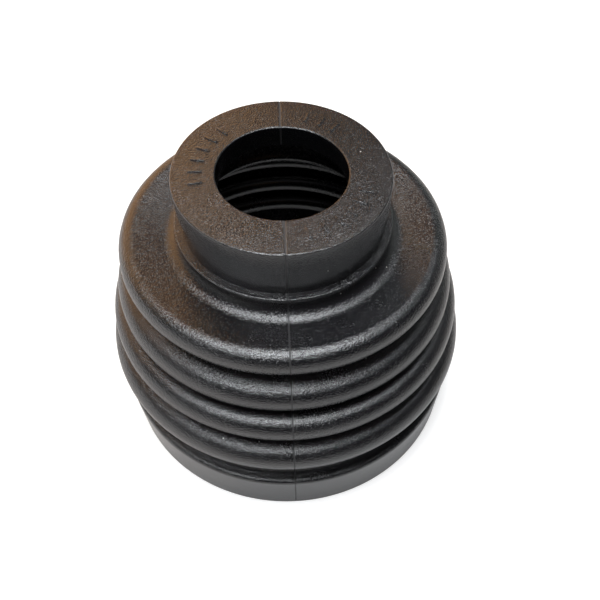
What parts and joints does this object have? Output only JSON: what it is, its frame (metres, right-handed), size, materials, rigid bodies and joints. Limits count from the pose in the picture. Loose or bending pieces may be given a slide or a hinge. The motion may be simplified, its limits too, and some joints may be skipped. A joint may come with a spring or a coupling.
{
  "type": "rubber bellows boot",
  "caption": "One-piece moulded rubber bellows boot: a thick collar with a round bore, a folded bell that widens downwards, and a wide plain mouth to clamp over a joint housing.",
  "frame": {"origin": "centre of the large end's bottom face, on the boot's axis", "axes": "+Z along the axis of revolution, from the large end to the small end; the mould's parting plane is the YZ plane"},
  "size_m": [0.0794, 0.0794, 0.0623],
  "materials": {
    "rubber": "black moulded rubber: fine spark-eroded grain on the folds and end faces, smoother collar side and flange"
  },
  "bodies": {
    "root": {"bellows_boot": "rubber"}
  },
  "joints": []
}
